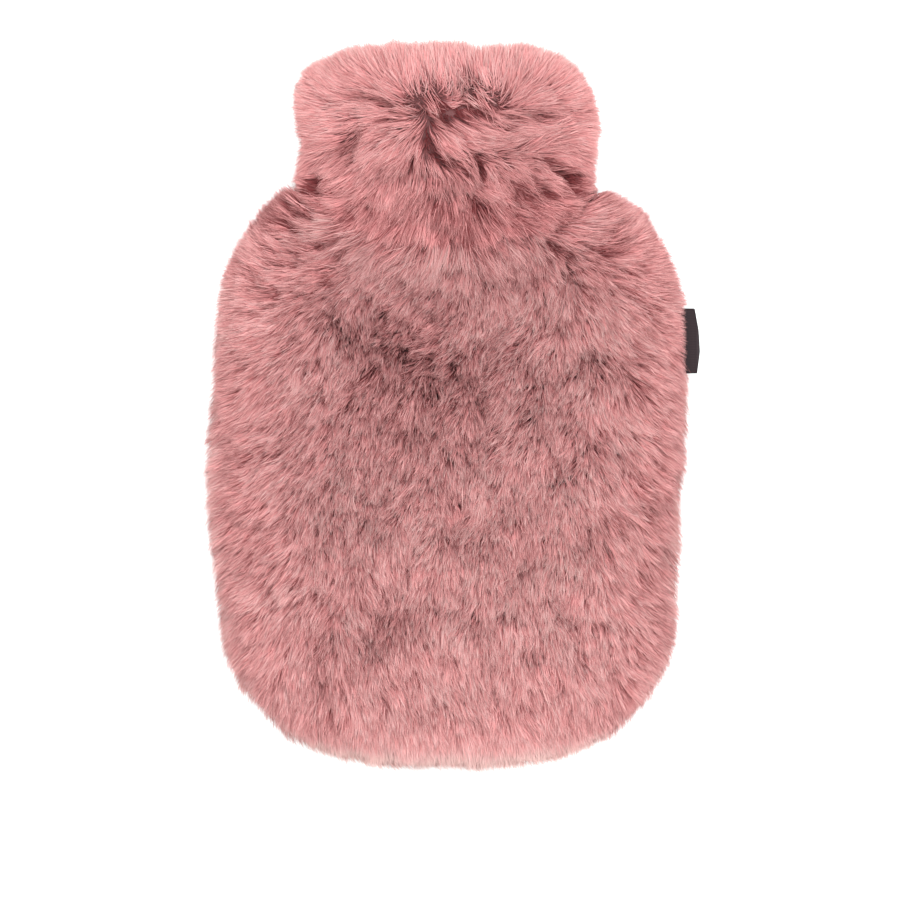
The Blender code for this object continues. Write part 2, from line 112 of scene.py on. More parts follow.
# Which way the pile is brushed, seen from above: x and y in mm, heading in degrees from +X towards +Y.
SHARED_STROKES = (  # at the collar's lower edge, where its pile runs on into the panel's
    (-45, 98, 230), (-35, 98, 243), (-25, 98, 250), (-16, 98, 258), (-6, 98, 265), (5, 98, 270),
    (15, 98, 285), (24, 98, 300), (-50, 89, 222), (-40, 89, 235), (-30, 89, 243), (-21, 89, 248),
    (-11, 89, 255), (-1, 89, 265), (7, 89, 275), (17, 89, 295), (24, 89, 305), (31, 89, 320),
    (-45, 79, 225), (-35, 79, 238), (-25, 79, 243), (-16, 79, 245), (-6, 79, 252), (5, 79, 268),
    (15, 79, 285), (24, 79, 300), (31, 82, 310),
)
FRONT_STROKES = (
    *SHARED_STROKES, (-45, 69, 232), (-35, 69, 240), (-25, 69, 243), (-16, 69, 243), (-6, 69, 250),
    (5, 69, 265), (15, 69, 280), (24, 69, 290), (34, 69, 292), (-40, 59, 240), (-25, 59, 243),
    (-11, 59, 240), (2, 59, 255), (15, 59, 270), (24, 59, 275), (34, 59, 272), (-85, 98, 128),
    (-94, 93, 135), (-100, 87, 140), (-105, 79, 145), (-109, 71, 160), (-113, 64, 168), (-113, 56, 178),
    (-113, 49, 185), (-113, 42, 195), (-117, 34, 215), (-75, 101, 143), (-76, 93, 146), (-56, 103, 210),
    (-63, 100, 190), (-69, 99, 168), (-58, 96, 205), (-65, 96, 185), (-71, 95, 162), (-80, 89, 152),
    (-55, 89, 205), (-63, 89, 190), (-69, 89, 175), (-55, 84, 210), (-65, 84, 195), (-75, 84, 176),
    (-82, 84, 158), (-87, 84, 146), (-92, 82, 142), (-94, 77, 130), (-90, 72, 150), (-82, 69, 175),
    (-97, 74, 145), (-102, 71, 155), (-105, 65, 165), (-75, 77, 185), (-68, 77, 205), (-60, 79, 212),
    (-55, 77, 218), (-65, 71, 215), (-75, 71, 197), (-82, 73, 178), (-85, 65, 190), (-95, 66, 166),
    (-75, 64, 208), (-65, 61, 225), (-58, 66, 230), (-90, 59, 192), (-97, 60, 180), (-105, 59, 178),
    (-82, 56, 212), (-75, 56, 225), (-65, 54, 235), (-58, 56, 240), (-90, 53, 200), (-100, 53, 185),
    (-100, 46, 190), (-92, 46, 208), (-85, 49, 222), (-77, 46, 235), (-85, 42, 230), (-94, 40, 215),
    (-102, 40, 200), (-75, 40, 255), (-82, 34, 240), (-92, 32, 228), (-100, 33, 208), (-108, 37, 200),
    (-68, 46, 245), (-60, 45, 255), (-56, 40, 265), (-55, 49, 240), (-65, 34, 265), (-55, 32, 265),
    (-75, 32, 255), (39, 114, 330), (47, 109, 320), (52, 103, 322), (55, 100, 345), (68, 103, 20),
    (74, 101, 30), (81, 98, 36), (89, 93, 42), (84, 89, 34), (94, 89, 42), (76, 93, 28), (68, 96, 12),
    (62, 97, 0), (54, 95, 348), (47, 95, 340), (39, 96, 330), (54, 91, 344), (62, 89, 350), (68, 88, 2),
    (74, 89, 16), (79, 86, 26), (86, 83, 30), (94, 82, 30), (101, 79, 26), (99, 86, 40), (104, 74, 14),
    (109, 69, 5), (112, 61, 0), (113, 54, 355), (74, 82, 352), (68, 81, 340), (62, 83, 334),
    (54, 86, 330), (47, 88, 334), (39, 89, 338), (79, 77, 350), (86, 77, 8), (94, 76, 12), (74, 76, 334),
    (67, 76, 326), (59, 78, 320), (52, 79, 310), (47, 77, 300), (44, 82, 312), (49, 69, 285),
    (57, 69, 292), (64, 71, 304), (71, 71, 312), (79, 72, 325), (86, 71, 342), (94, 69, 352),
    (101, 66, 358), (39, 77, 300), (39, 69, 285), (59, 61, 284), (68, 64, 294), (76, 64, 300),
    (84, 66, 315), (86, 63, 300), (91, 64, 306), (96, 61, 325), (104, 59, 345), (80, 56, 282),
    (86, 56, 295), (94, 56, 318), (101, 55, 340), (109, 54, 350), (94, 49, 308), (101, 49, 328),
    (109, 47, 335), (113, 46, 350), (94, 42, 296), (101, 42, 314), (109, 41, 330), (101, 34, 310),
    (96, 32, 292), (68, 56, 285), (62, 54, 278), (54, 51, 266), (74, 46, 280), (84, 42, 284),
    (64, 42, 266), (44, 51, 265), (39, 42, 260), (54, 34, 260), (74, 34, 275), (84, 32, 282),
    (-104, 19, 215), (-95, 12, 235), (-75, 17, 262), (-6, 27, 230), (24, 32, 235), (44, 27, 238),
    (96, 26, 310), (100, 12, 308), (74, 12, 264), (-117, 2, 208), (-94, 2, 236), (-114, -38, 206),
    (-100, -18, 223), (-80, -18, 250), (-90, -38, 242), (-65, -67, 275), (-50, -20, 255), (-25, -10, 252),
    (-11, -73, 257), (-95, -78, 239), (-110, -78, 226), (15, 4, 241), (54, -18, 239), (62, 2, 250),
    (24, -23, 250), (5, -43, 265), (44, -52, 262), (84, 2, 264), (84, -33, 275), (95, -8, 298),
    (103, -20, 304), (105, -50, 303), (111, -25, 318), (104, -78, 302), (89, -78, 276), (54, -78, 262),
    (24, -78, 262), (-109, -99, 228), (-90, -99, 242), (-69, -99, 236), (-58, -92, 280), (-35, -97, 285),
    (-23, -97, 268), (-90, -120, 250), (-75, -117, 264), (-50, -117, 284), (-60, -139, 295),
    (-35, -147, 291), (-75, -149, 276), (-105, -132, 234), (-11, -149, 291), (-6, -169, 280),
    (-50, -174, 274), (10, -102, 264), (59, -107, 262), (84, -120, 280), (99, -107, 301),
    (104, -125, 312), (98, -139, 316), (74, -149, 277), (54, -149, 282), (34, -141, 266), (7, -147, 296),
    (39, -158, 291), (74, -168, 292), (24, -174, 276),
)
# Where it stands up and shows its depth, darkened there with painted shade: x, y, half length, half width,
# turn, strength, in mm.
FRONT_UPRIGHT = (
    (-26, 33, 34, 20, -30, 1.0),
    (-40, 0, 34, 24, 20, 0.55),
    (-10, -15, 40, 22, 40, 0.45),
    (-50, -110, 36, 20, 20, 0.55),
    (25, 15, 30, 20, 0, 0.35),
)
# Where tufts part and show the depth, darkened there with painted shade: x, y, half length, half width,
# turn and how dark.
FRONT_PARTINGS = (
    (-76, 95, 5.2, 2.4, -40, 0.7), (-81, 88, 3.5, 2, -25, 0.8), (-87, 83, 2.5, 1.2, -40, 0.5),
    (-92, 77, 4.3, 1.2, -50, 0.7), (-86, 69, 5.2, 0.8, -10, 0.5), (-66, 97, 4.3, 0.8, 0, 0.5),
    (-65, 79, 5.2, 2.8, 20, 0.7), (-57, 74, 3.9, 2, 45, 0.8), (-58, 68, 4.3, 3.3, 0, 0.3),
    (-89, 55, 6, 2.8, 20, 0.4), (-91, 49, 3.5, 1.6, 40, 0.3), (-71, 55, 2.1, 2, 0, 0.3),
    (-76, 46, 3.5, 1.2, 70, 0.2), (-63, 42, 5.2, 2, -20, 0.3), (-56, 41, 3.5, 1.2, 80, 0.4),
    (-68, 49, 3.5, 1.6, 60, 0.2), (60, 109, 5.2, 3.3, -10, 1), (-72, 109, 3.5, 3.3, 0, 0.8),
    (43, 97, 3.5, 1.6, -15, 0.7), (52, 100, 5.2, 2, -20, 0.3), (54, 77, 6.9, 3.7, -45, 0.7),
    (49, 71, 4.3, 1.2, -80, 0.7), (60, 66, 4.3, 1.2, -75, 0.3), (69, 79, 5.2, 1.2, -25, 0.5),
    (81, 75, 6, 1.6, -5, 0.5), (80, 64, 2.1, 2, 0, 0.7), (80, 56, 3.5, 1.2, -80, 0.3),
    (89, 56, 5.2, 1.6, -65, 0.4), (96, 50, 4.3, 1.2, -10, 0.2), (67, 56, 3.5, 2.4, 0, 0.4),
    (44, 59, 5.2, 3.3, 0, 0.3), (20, 91, 6.9, 2, -50, 0.4), (17, 82, 4.3, 1.6, -60, 0.2),
    (-47, 34, 1.7, 1.2, 0, 0.4), (-33, 43, 2.5, 1.6, -30, 0.3), (-27, 37, 10.8, 5.7, -30, 0.2),
    (-42, 51, 4.3, 1.6, 40, 0.3), (-48, 47, 2.5, 1.2, 30, 0.3), (-26, 25, 2.5, 1.6, 80, 0.4),
    (-21, 27, 2.1, 1.2, 80, 0.4), (-14, 29, 2.1, 1.2, 50, 0.3), (-11, 41, 10.8, 2.4, 0, 0.3),
    (5, 42, 4.3, 2, 20, 0.2), (-39, 19, 3.5, 1.6, 0, 0.3), (-32, 20, 1.3, 1.2, 0, 0.3),
    (-41, 8, 1.7, 1.2, 60, 0.3), (-34, 9, 1.7, 1.2, 80, 0.3), (-49, 8, 3, 2, 90, 0.3),
    (-21, 14, 1.7, 1.2, 60, 0.3), (-12, 13, 2.1, 1.2, 80, 0.3), (1, 21, 2.1, 1.6, 60, 0.3),
    (14, 27, 3.5, 2, 50, 0.3), (22, 29, 3.5, 1.6, 45, 0.2), (44, 32, 3.9, 2, 10, 0.3),
    (38, 29, 2.1, 1.2, 20, 0.3), (26, 49, 2.1, 1.6, 0, 0.2), (43, 46, 2.1, 1.6, -50, 0.3),
    (-3, 9, 3, 1.2, 50, 0.2), (7, 8, 6.5, 2.4, 20, 0.2), (15, 0, 2.1, 1.2, 80, 0.3),
    (25, -3, 6, 1.2, 78, 0.2), (-6, -8, 2.5, 1.6, 10, 0.3), (-7, -15, 2.1, 1.2, -20, 0.3),
    (7, -16, 2.1, 1.2, 80, 0.4), (-13, -20, 2.1, 2, 0, 0.2), (5, -24, 3, 2.4, -30, 0.3),
    (14, -21, 2.1, 2, 0, 0.2), (-50, -20, 2.1, 1.2, 0, 0.2), (42, -13, 2.1, 1.2, 0, 0.3),
    (45, -17, 1.7, 1.2, 60, 0.3), (-22, -14, 1.7, 1.2, 70, 0.2), (-36, -15, 3.5, 0.8, 80, 0.2),
    (-30, -8, 2.5, 1.6, 10, 0.2), (4, -50, 3.5, 2.4, 70, 0.3), (54, -32, 3.5, 2, 60, 0.3),
    (42, -37, 2.5, 1.6, 20, 0.3), (42, -73, 4.3, 1.2, 20, 0.3), (77, -73, 2.5, 2, 90, 0.3),
    (-73, 14, 3, 1.2, 80, 0.3), (-67, -65, 4.3, 1.2, 88, 0.3), (-91, 2, 3.9, 1.6, 65, 0.3),
    (94, 0, 5.2, 1.2, -65, 0.3), (-59, -89, 3.5, 1.2, 88, 0.4), (-39, -86, 2.1, 1.2, 90, 0.4),
    (-49, -91, 2.5, 1.6, 60, 0.3), (-75, -99, 2.5, 1.6, 30, 0.4), (-68, -99, 2.5, 0.8, 50, 0.3),
    (-64, -97, 2.1, 0.8, 60, 0.3), (-83, -108, 2.1, 1.2, 20, 0.3), (-84, -114, 2.1, 0.8, 65, 0.4),
    (-76, -115, 2.1, 1.2, 80, 0.3), (-73, -117, 1.7, 1.2, 90, 0.3), (-65, -120, 1.7, 0.8, 80, 0.3),
    (-52, -115, 1.7, 1.2, 30, 0.3), (-44, -116, 3, 2, -60, 0.3), (-38, -117, 1.3, 1.2, 90, 0.2),
    (-32, -99, 6, 1.2, -70, 0.3), (-66, -141, 6, 1.2, -75, 0.3), (-62, -139, 2.5, 0.8, -70, 0.3),
    (-53, -147, 6, 1.2, -75, 0.3), (-82, -125, 3.5, 1.2, 80, 0.2), (-96, -117, 3.5, 1.2, 80, 0.2),
    (35, -86, 2.5, 1.6, 70, 0.3), (39, -84, 2.1, 1.2, 60, 0.3), (71, -89, 2.5, 0.8, 85, 0.4),
    (57, -88, 1.3, 1.2, 0, 0.2), (26, -108, 2.5, 0.8, 80, 0.3), (32, -108, 3.5, 1.2, 80, 0.4),
    (37, -118, 1.7, 0.8, 80, 0.3), (22, -113, 2.1, 0.8, -60, 0.2), (26, -128, 1.7, 1.2, 80, 0.3),
    (22, -131, 1.7, 1.2, 60, 0.3), (31, -140, 3.5, 1.2, 60, 0.3), (21, -141, 2.1, 1.2, 70, 0.3),
    (44, -140, 2.5, 0.8, -80, 0.3), (63, -111, 2.5, 2, 0, 0.2), (76, -111, 2.5, 1.2, 70, 0.3),
    (79, -120, 3.5, 0.8, 88, 0.3), (86, -120, 2.5, 0.8, -75, 0.3), (81, -137, 2.5, 2, 60, 0.3),
    (86, -143, 3.9, 1.2, -60, 0.3), (56, -145, 2.5, 0.8, 80, 0.2), (48, -152, 5.2, 1.2, -65, 0.2),
    (53, -107, 1.7, 1.2, 80, 0.2), (98, -89, 3.5, 1.2, -70, 0.2), (-112, -45, 42, 2, 90, 0.2),
    (109, -80, 34, 2, 90, 0.2),
)
PILE_TOP = 81 * MM
SHORTEST = 0.25  # of its length, which trimming leaves of any hair
SMALL_PARTINGS = 520  # scattered over the panel, each two to six millimetres long
# How far the tips of the pile reach, seen from above, all round the body, in mm.
BODY_MIDDLE = Vector((0, -30)) * MM
BODY_TIPS = (
    (0, 148), (40, 138), (65, 120), (79, 108), (97, 98), (114.5, 69), (122, 38), (119.5, 0), (116, -50),
    (115, -90), (115, -118), (101, -146.5), (85, -166.5), (51, -179), (0, -183), (-56, -180), (-80, -172),
    (-106.5, -144.5), (-117, -119), (-119, -88), (-123, -48), (-120.5, 5), (-119, 45), (-117.5, 61),
    (-113, 71), (-98, 96), (-84, 109), (-70, 122), (-42, 138),
)
LABEL_X = 119.5 * MM  # no hair reaches over the label outside this line
LABEL_ENDS = (14 * MM, 50 * MM)


def face_sheet(node):
    """A node's points, merged, and its triangles."""
    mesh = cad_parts[node].data
    mesh.calc_loop_triangles()
    points = np.array([v.co for v in mesh.vertices])
    corners = np.array([t.vertices[:] for t in mesh.loop_triangles])
    _, first, merged = np.unique(np.round(points, 6), axis=0, return_index=True, return_inverse=True)
    points, corners = points[first], merged.reshape(-1)[corners]
    whole = (corners != np.roll(corners, 1, axis=1)).all(axis=1)
    return points, corners[whole]


def unit(rows):
    return rows / np.maximum(np.linalg.norm(rows, axis=1, keepdims=True), 1e-12)


def face_normals(points, corners):
    """Normals of the faces, each twice as long as its face is large."""
    a, b, c = (points[corners[:, i]] for i in range(3))
    return np.cross(b - a, c - a)


def point_normals(points, corners):
    """Smooth normals at the points, from the given faces alone."""
    across = face_normals(points, corners)
    total = np.zeros_like(points)
    for i in range(3):
        np.add.at(total, corners[:, i], across)
    return unit(total)


sheets = {name: face_sheet(name) for name in ("front_panel", "back_panel", "roll_collar")}
starts = np.cumsum([0] + [len(points) for points, _ in sheets.values()])
cover_tree = BVHTree.FromPolygons(
    np.concatenate([points for points, _ in sheets.values()]).tolist(),
    np.concatenate([corners + start for (_, corners), start in zip(sheets.values(), starts)]).tolist(),
)


def free_way(places, ways, furthest):
    """How far it is from each place to the cover's next surface that way, at most furthest."""
    start = 0.05 * MM
    found = []
    for place, way in zip(places.tolist(), ways.tolist()):
        way = Vector(way)
        hit = cover_tree.ray_cast(Vector(place) + way * start, way, furthest)[3]
        found.append(furthest if hit is None else hit)
    return np.array(found)


def outer_faces(node):
    """The faces of a node that nothing else of the cover lies over."""
    points, corners = sheets[node]
    normals = unit(face_normals(points, corners))
    return free_way(points[corners].mean(axis=1), normals, CLEAR) > 0.99 * CLEAR


def smooth_step(values, low, high):
    """0 up to low and 1 from high on, with a smooth rise between them."""
    share = np.clip((values - low) / (high - low), 0, 1)
    return share * share * (3 - 2 * share)


def ripple(places, wave, seed, waves=20):
    """A smooth random swell over the places, with humps about a wave apart and a spread of about 1."""
    draw = np.random.default_rng(seed)
    ways = unit(draw.normal(size=(waves, 3))) * (2 * math.pi / wave * draw.uniform(0.7, 1.3, (waves, 1)))
    return np.sin(places @ ways.T + draw.uniform(0, 2 * math.pi, waves)).sum(axis=1) / math.sqrt(waves / 2)


def spots(places, table):
    """How strongly the spots of a table reach the places, from 0 to 1."""
    total = np.zeros(len(places))
    for x, y, half_length, half_width, turn, strength in table:
        dx, dy = places[:, 0] / MM - x, places[:, 1] / MM - y
        c, s = math.cos(math.radians(turn)), math.sin(math.radians(turn))
        along, over = (dx * c + dy * s) / half_length, (dy * c - dx * s) / half_width
        total += strength * np.exp(-(along**2) - over**2)
    return np.clip(total, 0, 1)


def cloth_piece(name, node, depth):
    """The backing and the dense underfur: the node's solid with its outer side drawn in to the roots."""
    points, corners = sheets[node]
    outer = corners[outer_faces(node)]
    normals = point_normals(points, outer)
    shown = np.unique(outer)
    inwards = np.zeros(len(points))
    inwards[shown] = np.minimum(depth, 0.5 * free_way(points[shown], -normals[shown], WALL))
    mesh = bpy.data.meshes.new(name)
    mesh.from_pydata((points - normals * inwards[:, None]).tolist(), [], corners.tolist())
    cloth = bpy.data.objects.new(name, mesh)
    bpy.context.scene.collection.objects.link(cloth)
    mesh.shade_smooth()
    mesh.materials.append(underfur)
    mesh.materials.append(backing)
    mesh.polygons.foreach_set("material_index", (~outer_faces(node)).astype(np.int32))
    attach(cloth, "root")
    return cloth


def plant(node, count, draw, depth, weight=None):
    """Random places on a node's outer faces, the normals there, and the roots of hairs below them."""
    points, corners = sheets[node]
    outer = corners[outer_faces(node)]
    normals = point_normals(points, outer)
    area = np.linalg.norm(face_normals(points, outer), axis=1)
    if weight is not None:
        area = area * weight(points[outer].mean(axis=1), unit(face_normals(points, outer)))
    face = draw.choice(len(outer), count, p=area / area.sum())
    a, b = np.sqrt(draw.random(count)), draw.random(count)
    shares = np.stack([1 - a, a * (1 - b), a * b], axis=1)[:, :, None]
    places = (points[outer[face]] * shares).sum(axis=1)
    out = unit((normals[outer[face]] * shares).sum(axis=1))
    below = np.minimum(depth, 0.5 * free_way(places, -out, WALL))
    return places, out, places - out * below[:, None]


def brushed(places, out, strokes, droop=0.3):
    """Which way the pile lies along the surface, and how surely, from the strokes of the brush nearby."""
    total, weights = np.zeros((len(places), 3)), np.zeros(len(places))
    for x, y, heading in strokes:
        near = (1 + ((places[:, 0] / MM - x) ** 2 + (places[:, 1] / MM - y) ** 2) / STROKE_REACH**2) ** -2.5
        turn = math.radians(heading)
        total += near[:, None] * (math.cos(turn), math.sin(turn), -droop)
        weights += near
    sure = np.linalg.norm(total[:, :2], axis=1) / weights
    return unit(total - (total * out).sum(axis=1, keepdims=True) * out), sure


def lay(roots, out, way, onward, length, lean_root, lean_tip, draw):
    """The bend and the tip of each hair, leaning over the given way at the root and onward at the tip."""
    count = len(roots)
    lean_root = lean_root + draw.normal(0, 0.09, count)
    lean_tip = lean_tip + draw.normal(0, 0.15, count)
    across = np.cross(out, way) * draw.normal(0, 0.2, (count, 1))
    length = length * draw.uniform(0.82, 1.12, count)
    first = out * np.cos(lean_root)[:, None] + (way + 0.6 * across) * np.sin(lean_root)[:, None]
    last = out * np.cos(lean_tip)[:, None] + (onward + 1.4 * across) * np.sin(lean_tip)[:, None]
    bends = roots + first * (BEND_AT * length)[:, None]
    return bends, bends + last * ((1 - BEND_AT) * length)[:, None]


def gather(roots, bends, tips, size, pull, stray, draw):
    """Draws the hairs together in tufts of about that size, and gives each tuft's own random number."""
    cells = np.unique(np.floor(roots / size), axis=0)
    count = min(len(roots), int(1.5 * len(cells)))
    leads = draw.choice(len(roots), count, replace=False)
    tree = KDTree(count)
    for i, lead in enumerate(leads):
        tree.insert(roots[lead], i)
    tree.balance()
    tuft = np.array([tree.find(root)[1] for root in roots.tolist()])
    astray = draw.normal(0, stray, (count, 3))
    strength = (np.clip(pull, 0, 1) * draw.uniform(0.5, 1.2, len(roots)))[:, None]
    tips += strength * ((tips[leads] + astray)[tuft] - tips)
    bends += 0.5 * strength * ((bends[leads] + 0.4 * astray)[tuft] - bends)
    return draw.normal(0, 1, count)[tuft]


def part(roots, bends, tips, partings, draw):
    """Shortens the hairs that cross a parting, nudges them apart, and gives how deep in one each lies."""
    depth = np.zeros(len(tips))
    crossings = ((bends.copy(), 0.75), (0.5 * (bends + tips), 0.6), (tips.copy(), 0.4))
    for x, y, half_length, half_width, turn, strength in partings:
        c, s = math.cos(math.radians(turn)), math.sin(math.radians(turn))
        for spot, cut in crossings:
            dx, dy = spot[:, 0] / MM - x, spot[:, 1] / MM - y
            close = np.nonzero(dx * dx + dy * dy < (1.6 * half_length) ** 2)[0]
            along, over = dx[close] * c + dy[close] * s, dy[close] * c - dx[close] * s
            inside = strength * np.exp(-(((along / half_length) ** 2 + (over / half_width) ** 2) ** 1.5))
            push = np.sign(over) * inside * half_width * draw.uniform(0, 0.4, len(close)) * MM
            shorter = (1 - cut * inside * draw.uniform(0.6, 1.0, len(close)))[:, None]
            tips[close, 0] -= push * s
            tips[close, 1] += push * c
            for ends in (tips, bends):
                ends[close] = roots[close] + shorter * (ends[close] - roots[close])
            depth[close] = np.maximum(depth[close], inside)
    return depth


def trim(roots, bends, tips, outline, middle, draw, beyond=0.0):
    """Shortens the hairs whose tips reach further out from the middle than the outline and beyond it."""
    corners = np.array(outline) * MM - np.array(middle)
    turns = np.arctan2(corners[:, 1], corners[:, 0])
    order = np.argsort(turns)
    flat = tips[:, :2] - np.array(middle)
    reaches = np.linalg.norm(corners, axis=1)
    far = np.interp(np.arctan2(flat[:, 1], flat[:, 0]), turns[order], reaches[order], period=2 * math.pi)
    uneven = (0.8 * ripple(tips, 9 * MM, 14) + 0.5 * ripple(tips, 3 * MM, 15)) * MM
    far += uneven + draw.normal(beyond - 0.75 * STRAY, STRAY + 0.5 * beyond, len(tips))
    start = np.linalg.norm(roots[:, :2] - np.array(middle), axis=1)
    reach = np.linalg.norm(flat, axis=1)
    top = PILE_TOP + 0.8 * MM * ripple(tips, 7 * MM, 16)
    share = np.ones(len(tips))
    for low, high, end in ((start, reach, far), (roots[:, 2], tips[:, 2], top)):
        kept = np.clip((end - low) / np.maximum(high - low, 1e-6), SHORTEST, 1)
        share = np.minimum(share, np.where(high > end, kept, 1))
    share = share[:, None]
    tips[:] = roots + share * (tips - roots)
    bends[:] = roots + share * (bends - roots)


def hair_piece(name, roots, bends, tips, out, tone_and_shading, width, draw):
    """A kite-shaped blade of two triangles for each hair. Its UV is its tone, with painted light and shade,
    across and its length up.
    """
    count = len(roots)
    way = unit(tips - roots)
    side = np.cross(way, out) + draw.normal(0, 0.28, (count, 3))
    side = unit(side - (side * way).sum(axis=1, keepdims=True) * way)
    half = side * (width * draw.uniform(0.7, 1.25, count) / 2)[:, None]
    points = np.stack([roots, bends + half, bends - half, tips], axis=1)
    points[:, :, 2] = np.maximum(points[:, :, 2], LOWEST)
    mesh = bpy.data.meshes.new(name)
    mesh.vertices.add(4 * count)
    mesh.vertices.foreach_set("co", points.reshape(-1).astype(np.float32))
    blade = np.array([0, 1, 2, 2, 1, 3])
    mesh.loops.add(6 * count)
    corners = (np.arange(count)[:, None] * 4 + blade).reshape(-1)
    mesh.loops.foreach_set("vertex_index", corners.astype(np.int32))
    mesh.polygons.add(2 * count)
    mesh.polygons.foreach_set("loop_start", np.arange(0, 6 * count, 3, dtype=np.int32))
    uv = mesh.uv_layers.new(name="OFBake")
    tone_and_shading_across = np.clip(tone_and_shading, 0.02, 0.9)[:, None] + np.array([0, 1, -1, -1, 1, 0]) * 0.006
    length_up = np.broadcast_to(np.array([0.0, BEND_AT, BEND_AT, BEND_AT, BEND_AT, 1.0]), (count, 6))
    uv.data.foreach_set("uv", np.stack([tone_and_shading_across, length_up], axis=2).reshape(-1).astype(np.float32))
    mesh.update(calc_edges=True)
    mesh.shade_smooth()
    mesh.materials.append(hair)
    piece = bpy.data.objects.new(name, mesh)
    bpy.context.scene.collection.objects.link(piece)
    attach(piece, "root")
    return piece


def colour_ramp(nodes, stops):
    ramp = nodes.new("ShaderNodeValToRGB")
    ends = ramp.color_ramp.elements
    for place, colour in stops:
        stop = ends[0] if place == 0.0 else ends[-1] if place == 1.0 else ends.new(place)
        stop.color = (*colour, 1)
    return ramp


def hair_finish():
    """Soft acrylic hair, dusty pink, darkened to deep rose towards the root as painted shade, in a tone for
    each hair that also carries painted light and shade.
    """
    made = bpy.data.materials.new("rose_pile")
    made.use_nodes = True
    nodes, links = made.node_tree.nodes, made.node_tree.links
    shader = nodes["Principled BSDF"]
    shader.inputs["Roughness"].default_value = 0.75
    shader.inputs["Specular IOR Level"].default_value = 0.0
    uv = nodes.new("ShaderNodeUVMap")
    uv.uv_map = "OFBake"
    apart = nodes.new("ShaderNodeSeparateXYZ")
    links.new(uv.outputs["UV"], apart.inputs["Vector"])
    # Painted shade: darker towards the root, where the hair lies deep in the pile.
    along = colour_ramp(nodes, (
        (0.0, (0.18, 0.05, 0.055)),
        (0.45, (0.40, 0.142, 0.143)),
        (0.75, (0.53, 0.22, 0.216)),
        (1.0, (0.60, 0.295, 0.287)),
    ))
    links.new(apart.outputs["Y"], along.inputs["Fac"])
    # Each hair's tone: random, and also painted light (lighter, greyer pink) and painted shade (darker).
    tone_and_shading = colour_ramp(nodes, (
        (0.0, (0.22, 0.11, 0.12)),
        (0.5, (1.0, 1.0, 1.0)),
        (0.75, (0.96, 1.25, 1.24)),
        (1.0, (1.14, 1.68, 1.58)),
    ))
    links.new(apart.outputs["X"], tone_and_shading.inputs["Fac"])
    times = nodes.new("ShaderNodeMix")
    times.data_type = "RGBA"
    times.blend_type = "MULTIPLY"
    times.inputs["Factor"].default_value = 1.0
    links.new(along.outputs["Color"], times.inputs["A"])
    links.new(tone_and_shading.outputs["Color"], times.inputs["B"])
    links.new(times.outputs["Result"], shader.inputs["Base Color"])
    return made


def underfur_finish():
    """The dense matted base of the pile, deep rose darkened as painted shade of the depth, with a felted
    bump.
    """
    made = bpy.data.materials.new("rose_underfur")
    made.use_nodes = True
    nodes, links = made.node_tree.nodes, made.node_tree.links
    shader = nodes["Principled BSDF"]
    shader.inputs["Roughness"].default_value = 0.95
    place = nodes.new("ShaderNodeTexCoord")
    noise = nodes.new("ShaderNodeTexNoise")
    noise.inputs["Scale"].default_value = 900
    noise.inputs["Detail"].default_value = 4
    ramp = colour_ramp(nodes, ((0.0, (0.06, 0.018, 0.02)), (1.0, (0.13, 0.045, 0.045))))
    links.new(place.outputs["Object"], noise.inputs["Vector"])
    links.new(noise.outputs["Fac"], ramp.inputs["Fac"])
    links.new(ramp.outputs["Color"], shader.inputs["Base Color"])
    bump = nodes.new("ShaderNodeBump")
    bump.inputs["Strength"].default_value = 0.6
    bump.inputs["Distance"].default_value = 0.6 * MM
    links.new(noise.outputs["Fac"], bump.inputs["Height"])
    links.new(bump.outputs["Normal"], shader.inputs["Normal"])
    return made


def backing_finish():
    """The knitted polyester backing, seen inside the bag: fine wales of interlocking loops."""
    made = bpy.data.materials.new("rose_knitted_backing")
    made.use_nodes = True
    nodes, links = made.node_tree.nodes, made.node_tree.links
    shader = nodes["Principled BSDF"]
    shader.inputs["Roughness"].default_value = 0.85
    place = nodes.new("ShaderNodeTexCoord")
    wales = nodes.new("ShaderNodeTexWave")
    wales.bands_direction = "X"
    wales.inputs["Scale"].default_value = 150
    wales.inputs["Distortion"].default_value = 0.6
    courses = nodes.new("ShaderNodeTexWave")
    courses.bands_direction = "Y"
    courses.inputs["Scale"].default_value = 210
    loops = nodes.new("ShaderNodeMath")
    loops.operation = "MULTIPLY"
    for wave, socket in ((wales, 0), (courses, 1)):
        links.new(place.outputs["Object"], wave.inputs["Vector"])
        links.new(wave.outputs["Fac"], loops.inputs[socket])
    ramp = colour_ramp(nodes, ((0.0, (0.17, 0.075, 0.072)), (1.0, (0.30, 0.155, 0.15))))
    links.new(loops.outputs["Value"], ramp.inputs["Fac"])
    links.new(ramp.outputs["Color"], shader.inputs["Base Color"])
    bump = nodes.new("ShaderNodeBump")
    bump.inputs["Strength"].default_value = 0.7
    bump.inputs["Distance"].default_value = 0.4 * MM
    links.new(loops.outputs["Value"], bump.inputs["Height"])
    links.new(bump.outputs["Normal"], shader.inputs["Normal"])
    return made


hair = hair_finish()
underfur = underfur_finish()
backing = backing_finish()


def rim_share(places):
    """1 at the side seam and 0 well up on the panel."""
    return 1 - smooth_step(np.abs(places[:, 2] - SEAM_Z), 3 * MM, 26 * MM)


def flow(places, out, strokes, seed):
    """The brushed way at each root and where its tip comes, both swerving a little, and how surely."""
    first = brushed(places, out, strokes)[0]
    way, sure = brushed(places + first * 3 * MM, out, strokes)
    onward = brushed(places + way * 9 * MM, out, strokes)[0]
    turned = []
    for course, wave in ((way, 17 * MM), (onward, 9 * MM)):
        veer = 0.08 * ripple(places, 21 * MM, seed) + 0.06 * ripple(places, wave, seed + 1)
        turned.append(course * np.cos(veer)[:, None] + np.cross(out, course) * np.sin(veer)[:, None])
    return *turned, 0.3 + 0.7 * smooth_step(sure, 0.1, 0.8)


